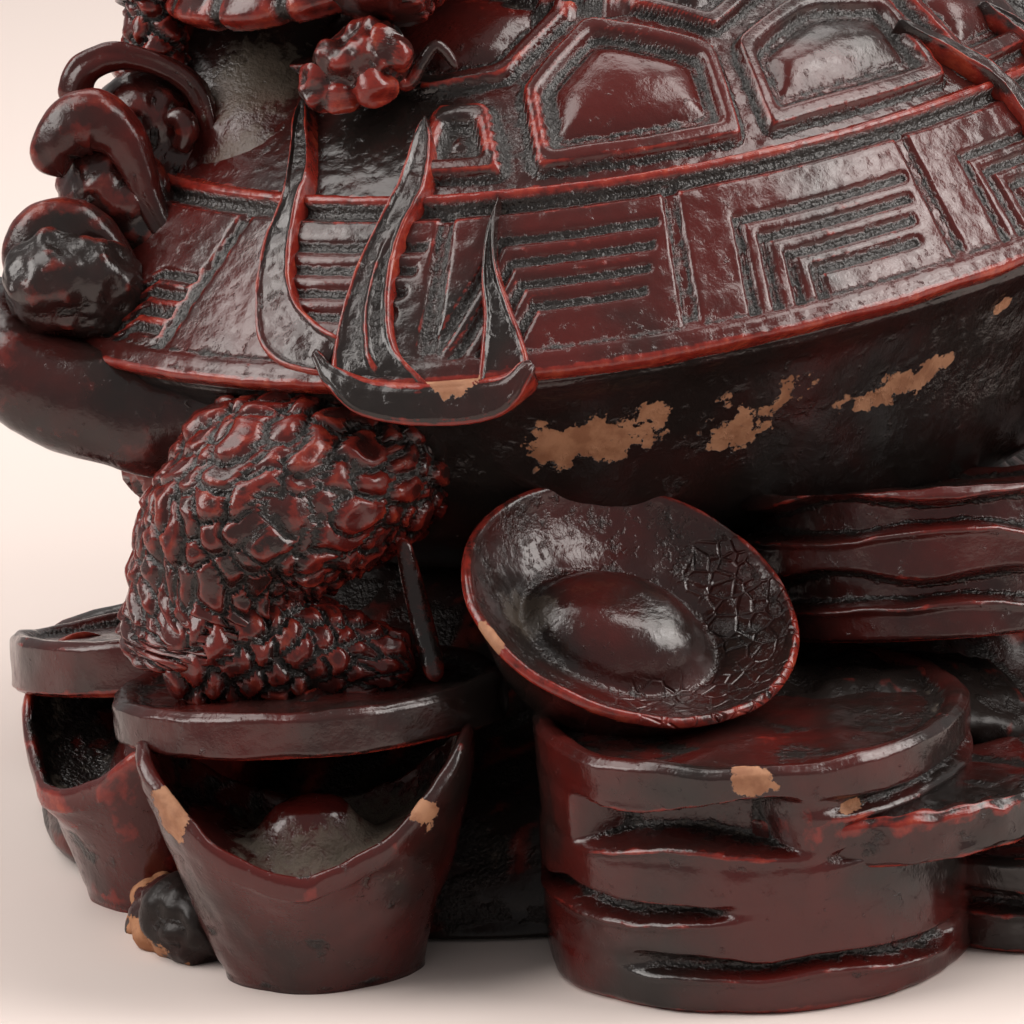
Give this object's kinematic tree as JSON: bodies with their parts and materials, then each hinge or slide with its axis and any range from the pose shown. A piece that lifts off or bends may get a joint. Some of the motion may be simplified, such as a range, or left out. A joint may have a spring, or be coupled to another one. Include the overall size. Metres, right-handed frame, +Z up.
{
  "type": "dragon turtle figure",
  "caption": "Dragon turtle figure with a young one on its shell, standing on a heap of coins and boat-shaped ingots, one cast piece that rests on a flat underside.",
  "frame": {"origin": "on the flat underside, below the middle of the shell", "axes": "+Z up, -Y towards the dragon's head, +X to the dragon's left"},
  "size_m": [0.1513, 0.1781, 0.1117],
  "materials": {
    "lacquered_resin": "cast resin with a glossy dark red lacquer look, brighter red on worn edges, near-black in the recesses, with tan chips and grey dust"
  },
  "bodies": {
    "root": {"dragon_turtle": "lacquered_resin"}
  },
  "joints": []
}
